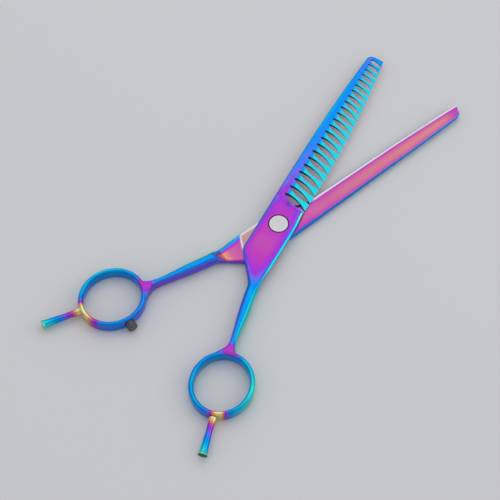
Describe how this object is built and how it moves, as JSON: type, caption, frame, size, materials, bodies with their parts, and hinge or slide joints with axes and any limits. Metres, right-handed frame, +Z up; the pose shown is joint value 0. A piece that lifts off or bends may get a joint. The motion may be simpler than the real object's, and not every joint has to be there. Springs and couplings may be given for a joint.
{
  "type": "thinning shears",
  "caption": "Chunker-style thinning shears with one slotted toothed blade, one plain blade, even finger rings, screw-in finger rests, a rubber bumper and a flat tension pivot.",
  "frame": {"origin": "on the pivot axis, on the surface the shears lie on, at the stud's end face", "axes": "+X midway between the two blades towards their tips, +Z up along the pivot axis, out of the toothed half's outer face"},
  "size_m": [0.1867, 0.086, 0.0054],
  "materials": {
    "rainbow_steel": "polished stainless steel with a rainbow titanium coating: cyan, blue, violet and magenta, gold at the ring ends; cutting edge and ride surface bare silver",
    "satin_steel": "satin turned stainless steel",
    "bronze": "plain bearing bronze",
    "white_polymer": "slippery white polymer washer",
    "grey_rubber": "dark grey translucent silicone rubber"
  },
  "bodies": {
    "plain_side": {"plain_half": "rainbow_steel", "pivot_bushing": "bronze", "glide_washer": "white_polymer", "spring_washer": "satin_steel", "bumper": "grey_rubber"},
    "toothed_side": {"toothed_half": "rainbow_steel", "pivot_stud": "satin_steel"},
    "tension_adjuster": {"tension_nut": "satin_steel"},
    "plain_rest": {"plain_finger_rest": "rainbow_steel"},
    "toothed_rest": {"toothed_finger_rest": "rainbow_steel"}
  },
  "joints": [
    {"name": "pivot", "type": "hinge", "parent": "plain_side", "child": "toothed_side", "pos_m": [0, 0, 0.0027], "axis": [0, 0, 1], "range_deg": [-23.3, 110]},
    {"name": "tension_turn", "type": "hinge", "parent": "toothed_side", "child": "tension_adjuster", "pos_m": [0, 0, 0.0005], "axis": [0, 0, 1], "range_deg": [-90, 90]},
    {"name": "plain_rest_unscrew", "type": "slide", "parent": "plain_side", "child": "plain_rest", "axis": [-0.8934, 0.4493, 0], "range_m": [0, 0.004]},
    {"name": "toothed_rest_unscrew", "type": "slide", "parent": "toothed_side", "child": "toothed_rest", "axis": [-0.8934, -0.4493, 0], "range_m": [0, 0.004]}
  ]
}
